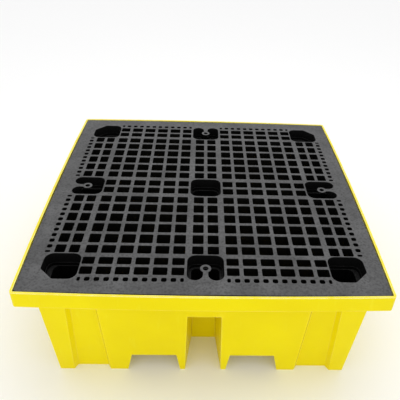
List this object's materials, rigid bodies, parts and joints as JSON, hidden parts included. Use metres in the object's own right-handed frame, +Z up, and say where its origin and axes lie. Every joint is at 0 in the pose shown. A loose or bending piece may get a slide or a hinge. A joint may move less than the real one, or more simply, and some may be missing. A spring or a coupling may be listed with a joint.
{
  "type": "spill containment pallet",
  "caption": "Square moulded sump pallet with a lift-out slotted drum deck on hollow pillars, forklift pockets on every side and a bulging rim band.",
  "frame": {"origin": "centre of the square footprint, on the floor", "axes": "+Z up; the pictured front faces -Y, +X is to the right seen from the front"},
  "size_m": [1.224, 1.224, 0.47],
  "materials": {
    "tub_yellow": "moulded polyethylene, satin",
    "deck_black": "moulded polyethylene, fine matt grain",
    "pillar_black": "moulded polyethylene, matt"
  },
  "bodies": {
    "tub": {"sump_tub": "tub_yellow", "pillar_front_left": "pillar_black", "pillar_front_right": "pillar_black", "pillar_back_left": "pillar_black", "pillar_back_right": "pillar_black", "pillar_front": "pillar_black", "pillar_back": "pillar_black", "pillar_left": "pillar_black", "pillar_right": "pillar_black", "pillar_centre": "pillar_black"},
    "deck": {"deck_grid": "deck_black"}
  },
  "joints": [
    {"name": "deck_lift", "type": "slide", "parent": "tub", "child": "deck", "axis": [0, 0, 1], "range_m": [0, 0.3]}
  ]
}
